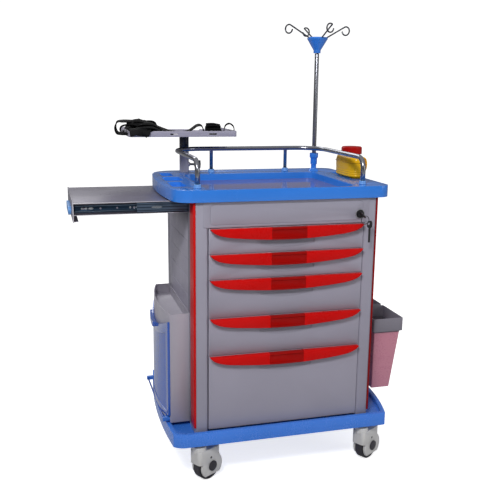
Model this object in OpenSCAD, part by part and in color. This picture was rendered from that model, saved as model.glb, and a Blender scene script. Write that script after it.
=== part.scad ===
// Hospital emergency cart: five drawers, moulded worktop with guard rail,
// infusion pole, swivelling defibrillator shelf, pull-out side shelf,
// side storage box, two lift-out waste bins, sharps container and four
// hooded swivel casters.
// Frame: origin on the floor under the centre of the cabinet, +Z up,
// the drawers open towards -Y, left is -X, the bins are on the +X side.
// Millimetres.

/* [Cabinet] */
// Width of the cabinet across its corner columns
body_w = 600; // [560:10:640]
// Depth of the cabinet, front to back
body_d = 490; // [470:5:510]
// Width of a corner column seen from the front
col_w = 44; // [38:1:50]
// Thickness of the side and back sheets
sheet_t = 3; // [2:0.5:4]

/* [Drawers] */
// Drop of the crescent pull at its centre
pull_drop = 39; // [34:1:46]
// How far the crescent pull stands out of the drawer front
pull_out = 17; // [12:1:22]

/* [Worktop] */
// Width of the moulded worktop
tray_w = 690; // [660:10:720]
// Height of the worktop rim above the floor
tray_top = 958; // [950:1:970]
// Depth of the working recess below the rim
recess_depth = 22; // [16:1:26]
// Outside diameter of the guard rail tube
rail_d = 16; // [14:1:19]
// Height of the guard rail's centre line above the floor
rail_z = 1043; // [1020:1:1050]

/* [Infusion pole] */
// Diameter of the outer pole
pole_d = 16; // [14:1:18]
// Radius of the circle the hook eyes lie on
hook_r = 125; // [110:5:140]

/* [Defibrillator shelf] */
// Width of the shelf tray
shelf_w = 374; // [340:2:380]
// Depth of the shelf tray
shelf_d = 296; // [280:4:310]
// Diameter of the shelf post
post_d = 34; // [30:1:38]

/* [Side shelf] */
// How far the side shelf stands out in the modelled pose
shelf_out = 330; // [250:10:335]

/* [Casters] */
// Wheel diameter
wheel_d = 100; // [95:1:100]
// Swivel angle of the casters in the modelled pose
caster_turn = 32; // [0:1:60]

/* [Hidden] */
half_w = body_w/2;
front_y = -body_d/2;
rear_y = body_d/2;
deck_bottom = 136;             // underside of the base skirt
deck_floor = 168;              // sunken floor of the base deck
deck_rim = 180;
col_in_x = half_w - col_w;     // inner face of the columns
front_col_d = 74;
rear_col_d = 40;
tray_bottom = tray_top - 37;   // lower edge of the worktop skirt
recess_z = tray_top - recess_depth;
under_z = recess_z - 4;        // hollow underside of the worktop
slide_bottom = 882;            // side shelf slides
slide_top = 914;
box_top = 552;                 // side storage box
pole_x = 253;
pole_y = 218;
steel = [0.80,0.81,0.83];
tray_blue = [0.20,0.44,0.84];

// ---------- shared shapes ----------
// rectangle with round corners
module round_rect(x0, x1, y0, y1, r) {
  translate([x0+r, y0]) square([x1-x0-2*r, y1-y0]);
  translate([x0, y0+r]) square([x1-x0, y1-y0-2*r]);
  for (x = [x0+r, x1-r], y = [y0+r, y1-r]) translate([x, y]) circle(r, $fn=96);
}
module slab(x0, x1, y0, y1, z0, z1, r=0) {
  translate([0,0,z0]) linear_extrude(z1-z0)
    if (r > 0) round_rect(x0, x1, y0, y1, r);
    else translate([x0,y0]) square([x1-x0, y1-y0]);
}
// round rectangle whose left side bulges to x0 on an arc centred at height arc_y
module crowned(x0, x1, y0, y1, r, arc_r, arc_y) intersection() {
  round_rect(x0, x1, y0, y1, r);
  translate([x0+arc_r, arc_y]) circle(arc_r, $fn=720);
}
module rod(d, z0, z1) {
  translate([0,0,z0]) cylinder(d=d, h=z1-z0, $fn=64);
}
module bar(from, to, d) {
  run = to - from;
  len = norm(run);
  translate(from) rotate([0, acos(run[2]/len), atan2(run[1], run[0])])
    cylinder(d=d, h=len, $fn=48);
}
// quarter bend of a rod in the XY plane
module quarter_bend(r, d) {
  rotate_extrude(angle=90, $fn=96) translate([r,0]) circle(d=d, $fn=48);
}
module at(p) translate([p[0], p[1], 0]) children();
// the +X child and its mirror image
module both_sides() for (s = [0,1]) mirror([s,0,0]) children();

// ---------- base ----------
deck_left_x = -383;
deck_right_x = 398;
deck_right_r = 900;            // bulge of the deck's right side
stems = [[-285,-239],[285,-239],[-285,262],[285,262]];
trail = 36;                    // axle behind the stem
axle_z = 50;
axle_d = 12;
wheel_r = wheel_d/2;
fork_half_w = 25;
well_half_w = 15.5;

module deck(inset, z0, z1) translate([0,0,z0]) linear_extrude(z1-z0) intersection() {
  crowned(deck_left_x+inset, deck_right_x-inset, front_y-23+inset, rear_y+73-inset,
    52-inset/2, 2000-inset, -30);
  translate([deck_right_x-deck_right_r, 0]) circle(deck_right_r-inset, $fn=720);
}
module base_deck() color([0.16,0.36,0.72]) difference() {
  hollow_top = deck_floor-6;
  deck(0, deck_bottom, deck_rim);
  deck(14, deck_floor, deck_rim+1);
  // hollow underside, with stem bosses and ribs left standing
  difference() {
    deck(8, deck_bottom-1, hollow_top);
    for (p = stems) at(p) rod(64, deck_bottom-2, deck_floor);
    for (x = [-150, 0, 150])
      slab(x-2, x+2, front_y-40, rear_y+90, deck_bottom-2, deck_floor);
    for (y = [-120, 140]) slab(-400, 400, y-2, y+2, deck_bottom-2, deck_floor);
  }
  for (p = stems) at(p) rod(12, deck_bottom-2, hollow_top);
}
// caster stems with their top flange, in the base bosses
module caster_stems() color([0.75,0.76,0.78]) for (p = stems) at(p) {
  rod(11.9, 118, 160);
  rod(40, 128, deck_bottom);
}
// caster frame: stem on local Z, axle along local X, trail along local +Y
module place_caster(i) at(stems[i]) rotate([0,0,caster_turn-90]) children();
// disc of a given half length centred on the wheel, axis along local X
module axle_disc(r, half_len, fn) {
  translate([-half_len,trail,axle_z]) rotate([0,90,0])
    cylinder(r=r, h=2*half_len, $fn=fn);
}
module fork_block(z0) {
  slab(-fork_half_w, fork_half_w, -20, trail+36, z0, 112, 11);
}
module caster_fork(i) color([0.74,0.73,0.72]) place_caster(i) difference() {
  union() {
    translate([0,0,104]) cylinder(d=46, h=22, $fn=64);
    difference() {
      union() {
        axle_disc(44, fork_half_w, 96);
        fork_block(66);
      }
      // wheel well
      axle_disc(53.5, well_half_w, 96);
      // open below
      slab(-26, 26, -60, 140, -5, 20);
    }
    fork_block(105);
  }
  rod(12.1, 90, 130);
  axle_disc((axle_d+0.1)/2, 30, 64);
}
module caster_wheel(i) color([0.16,0.17,0.20]) place_caster(i)
  translate([0,trail,axle_z]) rotate([0,90,0]) {
    hub_d = 60;
    difference() {
      union() {
        translate([0,0,-13]) cylinder(r=wheel_r, h=26, $fn=128);
        translate([0,0,-15]) cylinder(d=hub_d, h=30, $fn=64);
      }
      // ring recess in each face, between hub and tread
      for (z = [-13.01, 9]) translate([0,0,z]) difference() {
        cylinder(r=wheel_r-7, h=4.01, $fn=96);
        translate([0,0,-1]) cylinder(d=hub_d, h=7, $fn=64);
      }
    }
    // axle and its end caps
    translate([0,0,-27]) cylinder(d=axle_d, h=54, $fn=64);
    for (z = [-28.5, 25.2]) translate([0,0,z]) cylinder(d=34, h=3.3, $fn=64);
  }

// ---------- cabinet ----------
front_gap = 1.5;                      // groove around each drawer front
front_half_w = col_in_x - front_gap;  // half width of a drawer front
side_d = body_d-front_col_d-rear_col_d;
col_r = 9;                            // corner radius of the front columns
strip_out = 2.5;                      // strip stands out of the column side

// hollow column on the +X side
module column(front) {
  y0 = front ? front_y : rear_y-rear_col_d;
  y1 = front ? front_y+front_col_d : rear_y;
  wall = 2.5;
  translate([0,0,deck_floor]) linear_extrude(under_z-deck_floor) difference() {
    round_rect(col_in_x, half_w, y0, y1, front ? col_r : 6);
    round_rect(col_in_x+wall, half_w-wall, y0+wall, y1-wall, 4);
  }
}
module corner_columns() color([0.62,0.61,0.68]) both_sides() {
  column(true);
  difference() {
    column(false);
    // room for the pole foot
    slab(col_in_x-1, pole_x+14, rear_y-rear_col_d-1, pole_y+14, tray_bottom-24, tray_top);
  }
}
// strip that wraps the front corner of each column
module column_strips() color([0.78,0.06,0.04]) both_sides() difference() {
  union() {
    // deeper part between the side box and the side shelf
    slab(half_w-7, half_w+strip_out, front_y-1.2, front_y+87,
      box_top+2, slide_bottom-6, 2.2);
    slab(half_w-7, half_w+strip_out, front_y-1.2, front_y+front_col_d-1,
      190, tray_bottom-2, 2.2);
  }
  slab(col_in_x-10, half_w, front_y, front_y+front_col_d+60, 180, 980, col_r);
  slab(col_in_x, half_w-4, front_y-3, front_y+2, 180, 990);
}
// sheet on the +X side with four slots
module side_panel(top) translate([0,front_y+front_col_d,0]) difference() {
  slab(half_w-1-sheet_t, half_w-1, 0, side_d, deck_floor, top);
  for (z = [600:60:780]) slab(half_w-2, half_w+1, 40, side_d-40, z, z+3);
}
module side_panels() color([0.50,0.49,0.56]) {
  side_panel(under_z);
  // the left sheet stops below the side shelf
  mirror([1,0,0]) side_panel(slide_bottom-3);
}
module back_panel() color([0.52,0.51,0.58]) difference() {
  slab(-col_in_x, col_in_x, rear_y-6-sheet_t, rear_y-6, deck_floor, under_z);
  for (z = [260:160:740])
    slab(-col_in_x+30, col_in_x-30, rear_y-7, rear_y+1, z, z+100, 0.5);
}

// ---------- lock ----------
lock_x = 240;
lock_z = 869;
lock_flange_d = 32;
panel_bottom = 840;
panel_rear_y = front_y+26;
barrel_d = 22;
plug_back = -32.2;             // rear end of the plug, local Z
key_t = 2.4;

// local +Z points forwards, out of the panel
module lock_frame() translate([lock_x, front_y, lock_z]) rotate([90,0,0]) children();

module lock_panel() color([0.60,0.59,0.66]) difference() {
  union() {
    slab(-front_half_w, front_half_w, front_y, front_y+3, panel_bottom, under_z);
    // raised face
    translate([0,front_y,0]) rotate([90,0,0]) linear_extrude(0.8)
      round_rect(-272, 272, panel_bottom+1, tray_bottom-1, 6);
    // side and bottom returns
    for (x = [-front_half_w, front_half_w-3])
      slab(x, x+3, front_y, panel_rear_y, panel_bottom, under_z);
    slab(-front_half_w, front_half_w, front_y, panel_rear_y, panel_bottom, panel_bottom+3);
    // fillers between the panel and the columns
    for (x = [-col_in_x, front_half_w])
      slab(x, x+front_gap, front_y+9, panel_rear_y, panel_bottom, under_z);
  }
  lock_frame() translate([0,0,-39]) cylinder(d=barrel_d+0.4, h=40, $fn=64);
  lock_frame() linear_extrude(2) circle(d=lock_flange_d+0.1, $fn=64);
  // fine groove round the field
  translate([0,front_y+0.4,0]) rotate([90,0,0]) linear_extrude(3) difference() {
    round_rect(-251, 251, 848, 912, 12);
    round_rect(-249.6, 249.6, 849.4, 910.6, 10.6);
    translate([lock_x,lock_z]) circle(d=lock_flange_d+4, $fn=64);
  }
}
module lock_body() color([0.07,0.07,0.08]) lock_frame() difference() {
  union() {
    linear_extrude(4) circle(d=lock_flange_d, $fn=64);
    translate([0,0,-24]) cylinder(d=barrel_d, h=24, $fn=64);
  }
  translate([0,0,-30]) cylinder(d=15, h=40, $fn=64);
}
module lock_keys() color([0.10,0.10,0.11]) {
  // plug with the cam on its rear end
  lock_frame() {
    translate([0,0,plug_back]) cylinder(d=14.9, h=37.7, $fn=64);
    translate([0,0,plug_back]) cylinder(d=20, h=3.2, $fn=64);
    translate([-7,-9,plug_back]) cube([14,34,3.2]);
  }
  translate([lock_x, front_y, lock_z]) {
    // key in the plug, turned a little
    rotate([0,-38,0]) {
      translate([-key_t/2,-16,-4]) cube([key_t,12,8]);
      translate([-key_t/2,-36,-13]) rotate([90,0,90]) linear_extrude(key_t) difference() {
        round_rect(0, 24, 0, 26, 9);
        translate([7,13]) circle(d=6, $fn=32);
      }
    }
    // ring and spare key, hanging clear of the drawer fronts
    translate([7,-29,-16]) rotate([90,0,0]) rotate_extrude($fn=64)
      translate([13,0]) circle(d=2, $fn=16);
    translate([23.4,-27.8,-43]) rotate([90,0,0]) linear_extrude(key_t) difference() {
      union() {
        round_rect(-8.5, 8.5, 0, 24, 7);
        translate([-3.2,-46]) square([6.4,48]);
      }
      translate([-3.4,14]) circle(d=8, $fn=32);
    }
  }
}

// ---------- drawers, numbered from 0 at the top ----------
drawer_tops = [838, 757, 676, 552, 428];
drawer_bottoms = [for (k = [0:4]) k < 4 ? drawer_tops[k+1]+front_gap : 181];
front_t = 18;                  // thickness of a drawer front
tub_half_w = 222;
tub_rear_y = 172;

// fixed guide rails, one pair per drawer
module drawer_rails() color([0.30,0.31,0.34]) for (k = [0:4]) both_sides() difference() {
  z = drawer_tops[k];
  union() {
    slab(tub_half_w+4, half_w-1-sheet_t, front_y+front_col_d, 180, z-34, z-14);
    slab(tub_half_w+4, col_in_x, front_y+front_t+1, front_y+front_col_d+1, z-34, z-14);
  }
  // groove for the tub flange
  slab(tub_half_w+3, tub_half_w+16.5, front_y, 200, z-26.6, z-22.4);
  // hollow outer side
  slab(tub_half_w+20, half_w+5, front_y+front_col_d+4, 176, z-30, z-18);
}
// crescent with a straight top edge: short steep ends, a shallow run, then a deeper belly
function crescent(w, drop, steps=48) = [
  for (i = [0:steps])
    let(x = -w + 2*w*i/steps, t = abs(x)/w)
    [x, -drop*(0.68*pow(max(0, 1-pow(t, 9)), 0.8) + 0.16*(1+cos(180*pow(t, 1.1))))]
];
module drawer_front(k) color([0.58,0.57,0.63]) difference() {
  z0 = drawer_bottoms[k];
  z1 = drawer_tops[k];
  union() {
    difference() {
      slab(-front_half_w, front_half_w, front_y, front_y+front_t, z0, z1);
      // hollow of the moulded front
      slab(-front_half_w+14, front_half_w-14, front_y+4, front_y+front_t+1, z0+10, z1-10);
    }
    // screw bosses that meet the tub
    for (x = [-190, 190], z = [z0+18, z1-34])
      translate([x, front_y+1, z]) rotate([-90,0,0]) cylinder(d=10, h=front_t-1, $fn=48);
  }
  // finger scoop at the lower edge of the pull
  translate([-88, front_y-30, z1-44]) rotate([0,90,0]) cylinder(r=33, h=176, $fn=96);
}
module drawer_pull(k) color([0.80,0.03,0.02]) difference() {
  z1 = drawer_tops[k];
  translate([0, front_y, z1-0.5]) rotate([90,0,0]) linear_extrude(pull_out)
    polygon(crescent(front_half_w-2, pull_drop));
  // finger hollow behind the lip
  translate([0, front_y+0.01, z1-6]) rotate([90,0,0]) linear_extrude(pull_out-4)
    difference() {
      polygon(crescent(front_half_w-44, pull_drop+12));
      translate([-300,-6]) square([600,10]);
    }
  // label window
  slab(-58, 58, front_y-pull_out-1, front_y-pull_out+1.2, z1-32, z1-8);
}
module drawer_tub(k) color([0.86,0.87,0.88]) {
  z0 = drawer_bottoms[k]+7;
  z1 = drawer_tops[k]-23;
  wall = 2.5;
  y0 = front_y+front_t;
  difference() {
    union() {
      slab(-tub_half_w, tub_half_w, y0, tub_rear_y, z0, z1, 3);
      // flanges that run in the rails
      both_sides() slab(tub_half_w-4, tub_half_w+15.5, y0, tub_rear_y, z1-3, z1);
    }
    slab(-tub_half_w+wall, tub_half_w-wall, y0+3, tub_rear_y-wall, z0+wall, z1+1, 3);
  }
  // dividers
  if (k < 2) for (x = [-75, 75])
    slab(x-1.2, x+1.2, y0+2, tub_rear_y-1, z0+1, z1-12);
  if (k == 0) slab(-76, 76, -30, -27.6, z0+1, z1-12);
}

// ---------- worktop ----------
tray_half_w = tray_w/2;
tray_bulge = 29;               // how far the left side bulges out
tray_front_y = front_y - 10;
tray_rear_y = rear_y + 60;
post_x = -233;                 // defibrillator post axis
post_y = 264;
rail_left_x = -280;
rail_right_x = 266;
rail_front_y = -200;
rail_rear_y = 224;
rail_corner_r = 95;            // rear corner bends
rail_drop_r = 38;              // bends down to the front legs
rear_leg_x = 141;
rear_leg_d = 12.7;
spigot_d = 9.8;                // pins that enter the worktop
rail_feet = [[rail_left_x,rail_front_y], [rail_right_x,rail_front_y],
  [-rear_leg_x,rail_rear_y], [rear_leg_x,rail_rear_y]];
// larger left corners: arc centre x, y, side in Y (-1 front, 1 rear), radius
tray_left_corners = [[-302, tray_front_y+60, -1, 60], [-268, tray_rear_y-84, 1, 84]];
// x0, x1, y0, y1, depth, corner radius; the last holds the sharps container
tray_pockets = [
  [-334, -294,  130, 226, 12, 14],
  [-345, -284,   -6, 100, 12, 14],
  [-348, -303, -156, -36, 12, 14],
  [ 294, 341.5, -62, 150, 18, 10]];

module tray_plan(inset) difference() {
  crowned(-tray_half_w-tray_bulge+inset, tray_half_w-inset,
    tray_front_y+inset, tray_rear_y-inset, 40, 1500-inset, -5);
  for (c = tray_left_corners) translate([c[0], c[1]]) difference() {
    translate([-200, c[2] < 0 ? -200 : 0]) square([200, 200]);
    circle(c[3]-inset, $fn=128);
  }
}
module worktop_tray() color(tray_blue) difference() {
  translate([0,0,tray_bottom]) linear_extrude(tray_top-tray_bottom) tray_plan(0);
  // working recess
  slab(-258, 228, tray_front_y+13, 165, recess_z, tray_top+1, 34);
  for (p = tray_pockets) slab(p[0], p[1], p[2], p[3], tray_top-p[4], tray_top+1, p[5]);
  // hollow underside
  translate([0,0,tray_bottom-1]) linear_extrude(under_z-tray_bottom+1) tray_plan(5);
  // holes for the shelf post, the pole and the rail feet
  at([post_x,post_y]) rod(post_d+0.6, tray_bottom-5, tray_top+5);
  at([pole_x,pole_y]) rod(24, tray_bottom-5, tray_top+5);
  for (p = rail_feet) at(p) rod(10, tray_bottom-5, tray_top+5);
}
module guard_rail() color(steel) {
  foot_z = tray_top+1;
  for (side = [-1,1]) {
    x = side < 0 ? rail_left_x : rail_right_x;
    // front leg and its bend
    at([x, rail_front_y]) {
      rod(rail_d, foot_z, rail_z-rail_drop_r);
      rod(spigot_d, tray_top-20, foot_z+1);
    }
    multmatrix([[0,0,-1,x], [-1,0,0,rail_front_y+rail_drop_r],
        [0,1,0,rail_z-rail_drop_r], [0,0,0,1]])
      quarter_bend(rail_drop_r, rail_d);
    // side run and rear corner
    bar([x, rail_front_y+rail_drop_r, rail_z], [x, rail_rear_y-rail_corner_r, rail_z], rail_d);
    translate([x-side*rail_corner_r, rail_rear_y-rail_corner_r, rail_z])
      rotate([0,0,side > 0 ? 0 : 90]) quarter_bend(rail_corner_r, rail_d);
    // rear leg
    at([side*rear_leg_x, rail_rear_y]) {
      rod(rear_leg_d, foot_z, rail_z-1);
      rod(spigot_d, tray_top-20, foot_z+1);
    }
  }
  bar([rail_left_x+rail_corner_r, rail_rear_y, rail_z],
    [rail_right_x-rail_corner_r, rail_rear_y, rail_z], rail_d);
}
module rail_ferrules() color([0.30,0.52,0.90])
  for (p = rail_feet) translate([p[0],p[1],tray_top]) difference() {
    union() {
      cylinder(d1=26, d2=24, h=3, $fn=64);
      translate([0,0,3]) cylinder(d1=24, d2=21, h=9, $fn=64);
    }
    translate([0,0,1]) cylinder(d=p[1] < 0 ? rail_d : rear_leg_d, h=20, $fn=64);
    translate([0,0,-1]) cylinder(d=spigot_d, h=4, $fn=64);
  }

// ---------- infusion pole ----------
pole_foot_z = tray_bottom-15;
arm_angles = [7:90:277];
arm_root = [14, 0, 1428.6];
arm_d = 5;

module pole_socket() color([0.22,0.47,0.86]) at([pole_x,pole_y]) difference() {
  union() {
    rod(23.8, tray_bottom-20, tray_top+1);
    translate([0,0,tray_top]) cylinder(d1=40, d2=26, h=9, $fn=64);
    rod(20, tray_top+8, tray_top+26);
    rod(25, tray_top+25, tray_top+48);
    translate([0,0,tray_top+46]) cylinder(d1=25, d2=32, h=4, $fn=64);
    rod(32, tray_top+50, tray_top+66);
  }
  rod(pole_d+0.02, pole_foot_z, tray_top+90);
}
module pole_outer() color(steel) at([pole_x,pole_y]) difference() {
  rod(pole_d, pole_foot_z, 1384);
  rod(pole_d-3, pole_foot_z+3, 1400);
}
module pole_inner() color(steel) at([pole_x,pole_y]) rod(pole_d-3.1, pole_foot_z+5, 1401.9);
module pole_head() color(tray_blue) at([pole_x,pole_y]) difference() {
  union() {
    rod(26, 1386, 1397);
    translate([0,0,1396]) cylinder(d1=26, d2=76, h=41, $fn=96);
    translate([0,0,1437]) cylinder(d1=76, d2=70, h=5, $fn=96);
  }
  rod(pole_d-3, 1380, 1402);
  for (a = arm_angles) rotate([0,0,a]) bar(arm_root, [60,0,1453.8], arm_d);
}
// arm with a closed eye turned across its end
module pole_hooks() color([0.78,0.79,0.82]) at([pole_x,pole_y])
  for (a = arm_angles) rotate([0,0,a]) {
    arm_tip = [hook_r-17, 0, 1480];
    bar(arm_root, arm_tip, arm_d);
    translate(arm_tip) rotate([0,0,-60]) translate([8.5,0,-12.4]) rotate([90,0,0])
      rotate_extrude($fn=96) translate([15,0]) circle(d=arm_d, $fn=32);
  }

// ---------- defibrillator shelf ----------
plate_bottom = 1087;
plate_top = 1092;
pivot_d = 20;

module at_post() at([post_x,post_y]) children();
// local Z points out of the post along the clamping knob
module at_knob() translate([post_x,post_y,985]) rotate([0,90,-20]) children();

module shelf_post_outer() color([0.66,0.66,0.70]) {
  difference() {
    union() {
      at_post() rod(post_d, 590, 1044);
      at_knob() cylinder(d=16, h=post_d/2+4, $fn=48);
    }
    at_post() rod(post_d-6, 580, 1050);
    at_knob() cylinder(d=8.1, h=60, $fn=48);
  }
  // brackets to the cabinet back
  for (z = [620, 840]) difference() {
    slab(post_x-21, post_x+30, rear_y-6, post_y, z, z+40);
    at_post() rod(post_d-1, z-1, z+41);
  }
}
module shelf_post_inner() color([0.13,0.14,0.17]) at_post() {
  rod(post_d-6.1, 760, 1046);
  rod(post_d, 1045, plate_bottom);
}
module shelf_post_knob() color([0.45,0.45,0.48]) at_knob() {
  translate([0,0,post_d/2-2.9]) cylinder(d=8, h=26, $fn=48);
  translate([0,0,post_d/2+20]) cylinder(d=15, h=6, $fn=48);
  translate([0,0,post_d/2+26]) difference() {
    cylinder(d=30, h=16, $fn=96);
    for (a = [0:60:300]) rotate([0,0,a]) translate([17.5,0,-1]) cylinder(d=9, h=20, $fn=32);
  }
}
module shelf_support_plate() color([0.15,0.16,0.19]) difference() {
  slab(post_x-197, post_x+108, post_y-62, post_y+78, plate_bottom, plate_top, 12);
  at_post() rod(pivot_d+0.1, 1080, 1100);
}
module defib_shelf() color([0.60,0.60,0.66]) {
  x1 = post_x+160;
  x0 = x1-shelf_w;
  y0 = post_y-shelf_d/2;
  y1 = post_y+shelf_d/2;
  z0 = plate_top+0.2;
  difference() {
    slab(x0, x1, y0, y1, z0, 1112, 10);
    slab(x0+2, x1-2, y0+2, y1-2, z0+2, 1120, 8);
    // the rear lip is lower
    slab(x0+30, x1-30, y1-10, y1+1, 1103, 1120);
    // strap slots in the front and back lips
    for (x = [x0+139, x1-100], y = [y0, y1]) slab(x, x+27, y-5, y+5, 1099, 1104);
    // strap slots in the floor
    for (x = [x0+70, x1-22]) slab(x, x+6, post_y-60, post_y+60, 1090, 1100);
  }
  at_post() rod(pivot_d, plate_bottom+0.2, plate_top+1);
}
// soft webbing, simple solids of its size
module defib_straps() color([0.05,0.05,0.06]) {
  slab(-438, -296, 130, 330, 1096.4, 1128, 8);
  slab(-172, -82, 130, 300, 1096.4, 1124, 8);
}

// ---------- pull-out side shelf ----------
slide_len = 345;
slide_front_y = -168;
slide_rear_y = 204;
slide_t = 1.2;                 // sheet thickness of a slide member
shelf_in_x = -(half_w + 4);    // inner end of the side shelf
shelf_out_x = shelf_in_x - slide_len;
web_y = 13.2;                  // shelf web, inwards from the slide's outer face
end_t = 3;                     // thickness of the outer end plate
end_bottom = 858;

module side_shelf_pan() color([0.55,0.54,0.60]) {
  y0 = slide_front_y;
  y1 = slide_rear_y;
  slab(shelf_out_x, shelf_in_x, y0-1, y1+1, slide_top+0.5, slide_top+2.5);
  for (y = [y0+web_y, y1-web_y-2])
    slab(shelf_out_x, shelf_in_x, y, y+2, slide_bottom-3, slide_top+1);
  // lips turned out under the slides
  slab(shelf_out_x, shelf_in_x, y0+1, y0+14, slide_bottom-3, slide_bottom-1.5);
  slab(shelf_out_x, shelf_in_x, y1-14, y1-1, slide_bottom-3, slide_bottom-1.5);
  // outer end plate and its bottom lip
  slab(shelf_out_x-end_t, shelf_out_x, y0-1, y1+1, end_bottom, slide_top+5);
  slab(shelf_out_x-end_t, shelf_out_x+14, y0+web_y, y1-web_y, end_bottom, end_bottom+2);
}
module side_shelf_handle() color([0.45,0.66,0.92]) difference() {
  translate([shelf_out_x-end_t, 0, 877]) rotate([0,-90,0]) linear_extrude(9)
    round_rect(-13, 13, -62, 92, 12);
  // hollow in the inner side, open below
  translate([shelf_out_x-2, 0, 871]) rotate([0,-90,0]) linear_extrude(6)
    round_rect(-10, 10, -52, 82, 9);
}
// the front slide's child and its mirror image on the rear slide
module both_slides() for (rear = [0,1])
  translate([0, rear*(slide_front_y+slide_rear_y), 0]) mirror([0,rear,0]) children();
// C-section pair; the front one opens towards +Y
module channels(x0, x1, y, d, z0, z1) both_slides() {
  slab(x0, x1, y, y+slide_t, z0, z1);
  for (z = [z0, z1-slide_t]) slab(x0, x1, y, y+d, z, z+slide_t);
}
module side_slide_fixed() color([0.55,0.57,0.60])
  channels(-half_w+1.2, half_w-4.2, slide_front_y, 9, slide_bottom, slide_top);
module side_slide_middle() color([0.38,0.42,0.48]) {
  x0 = -(half_w-4)-shelf_out/2;
  channels(x0, x0+slide_len, slide_front_y+2, 8, slide_bottom+1.8, slide_top-1.8);
}
module side_slide_inner() color([0.20,0.24,0.30]) difference() {
  x0 = shelf_out_x+1;
  y1 = slide_front_y+web_y;
  z0 = slide_bottom+5;
  z1 = slide_top-5;
  // C-sections that open away from the shelf
  both_slides() {
    slab(x0, shelf_in_x, y1-slide_t, y1, z0, z1);
    for (z = [z0, z1-slide_t]) slab(x0, shelf_in_x, slide_front_y+4, y1, z, z+slide_t);
  }
  for (x = [shelf_out_x+30:50:shelf_in_x-20])
    translate([x, slide_front_y-20, (slide_bottom+slide_top)/2]) rotate([-90,0,0])
      cylinder(d=6, h=slide_rear_y-slide_front_y+40, $fn=32);
}

// ---------- side storage box ----------
box_x = -(half_w + 82);        // outer face
box_front_y = -170;
box_rear_y = 215;
box_bottom = 182;
box_r = 800;                   // bulge of the outer wall and its centre in Y
box_mid_y = -5;
box_wall = 3;
edge_r = 552;                  // arc of the door's top edge and its centre height
edge_z = 1030;
hinge_x = box_x-5;
hinge_z = 193;

// disc across the door, grown beyond the arc of its top edge
module edge_disc(grow, x0, x1) {
  translate([x0, 60, edge_z]) rotate([0,90,0]) cylinder(r=edge_r+grow, h=x1-x0, $fn=256);
}
module bulge_disc(grow, z0, z1) {
  translate([box_x+box_r, box_mid_y, z0]) cylinder(r=box_r+grow, h=z1-z0, $fn=720);
}
// curved wall between two offsets outside the box's outer face
module shell_ring(grow_in, grow_out, y0, y1, z0, z1) intersection() {
  difference() {
    bulge_disc(grow_out, z0, z1);
    bulge_disc(grow_in, z0-1, z1+1);
  }
  slab(box_x-40, box_x+60, y0, y1, z0, z1);
}
module box_body(inset, z0, z1) intersection() {
  bulge_disc(-inset, z0, z1);
  slab(box_x-10, -half_w-inset, box_front_y+inset, box_rear_y-inset, z0, z1);
}
module side_box_shell() color([0.56,0.55,0.60]) difference() {
  union() {
    box_body(0, box_bottom, box_top);
    // hinge ears
    for (y = [box_front_y+5, box_rear_y-18])
      slab(hinge_x-4, box_x+32, y, y+13, hinge_z-5, hinge_z+7);
  }
  // upper open tray
  box_body(box_wall, 520, box_top+1);
  // lower compartment
  box_body(box_wall, box_bottom+box_wall, 516);
  // door opening with an arched top edge
  difference() {
    shell_ring(-4, 1, box_front_y+14, box_rear_y-14, 206, 484);
    edge_disc(26, box_x-15, box_x+25);
  }
  // pin seats in the ears
  for (y = [box_front_y+8, box_rear_y-20])
    translate([hinge_x, y, hinge_z]) rotate([-90,0,0]) cylinder(d=6.1, h=12, $fn=64);
}
module side_box_door() color([0.18,0.38,0.80]) {
  difference() {
    union() {
      shell_ring(0.4, 7, box_front_y+2, box_rear_y-2, hinge_z, 530);
      // pull lip following the arched edge
      intersection() {
        shell_ring(0.4, 15, -10, 130, 440, 500);
        difference() {
          edge_disc(18, box_x-40, box_x+20);
          edge_disc(0.01, box_x-50, box_x+30);
        }
      }
    }
    edge_disc(0, box_x-50, box_x+40);
    // room for the hinge ears
    for (y = [box_front_y, box_rear_y-19]) slab(box_x-20, box_x+40, y, y+19, 180, 206);
    // shallow panel sunk in the outer face
    difference() {
      shell_ring(4.5, 9, box_front_y+22, box_rear_y-22, 216, 520);
      edge_disc(30, box_x-20, box_x+20);
    }
  }
  // hinge barrel along the foot of the door
  translate([hinge_x, box_front_y+9, hinge_z]) rotate([-90,0,0])
    cylinder(d=6, h=box_rear_y-box_front_y-18, $fn=64);
}

// ---------- waste bins ----------
ring_in_x = half_w + 38;       // outside faces of the holder rings
ring_out_x = half_w + 150;
ring_bottom = 440;
ring_top = 487;
ring_spans = [[-185,-27], [-11,147]];   // front and rear ring, y0 and y1

// slab inset from the outside of a ring
module ring_slab(span, inset, z0, z1, r) {
  slab(ring_in_x+inset, ring_out_x-inset, span[0]+inset, span[1]-inset, z0, z1, r);
}
module bin_holder() color([0.42,0.41,0.45]) {
  for (span = ring_spans) difference() {
    ring_slab(span, 0, ring_bottom, ring_top, 6);
    ring_slab(span, 4, ring_bottom+4, ring_top+1, 4);
    ring_slab(span, 7, ring_bottom-1, ring_top+1, 3);
  }
  // wall plate and its two arms
  slab(half_w, half_w+3, -156, 120, ring_bottom-60, ring_top+8);
  for (y = [-150, 40])
    slab(half_w+2, ring_in_x+1, y, y+60, ring_bottom+4, ring_top-4);
}
// narrows downwards, most on the outer side
module bin_taper(span, inset, z0, z1, r) hull() {
  ring_slab(span, inset, z1-0.01, z1, r);
  slab(ring_in_x+inset+4, ring_out_x-inset-26,
    span[0]+inset+10, span[1]-inset-10, z0, z0+0.01, r);
}
module bin(span) color([0.78,0.50,0.58]) difference() {
  union() {
    ring_slab(span, 4.4, ring_bottom+4.2, ring_bottom+7, 3.8);
    bin_taper(span, 7.4, 230, ring_bottom+6, 3);
  }
  bin_taper(span, 9.6, 232.5, ring_bottom+8, 2);
}
module bin_front() bin(ring_spans[0]);
module bin_rear() bin(ring_spans[1]);

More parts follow.
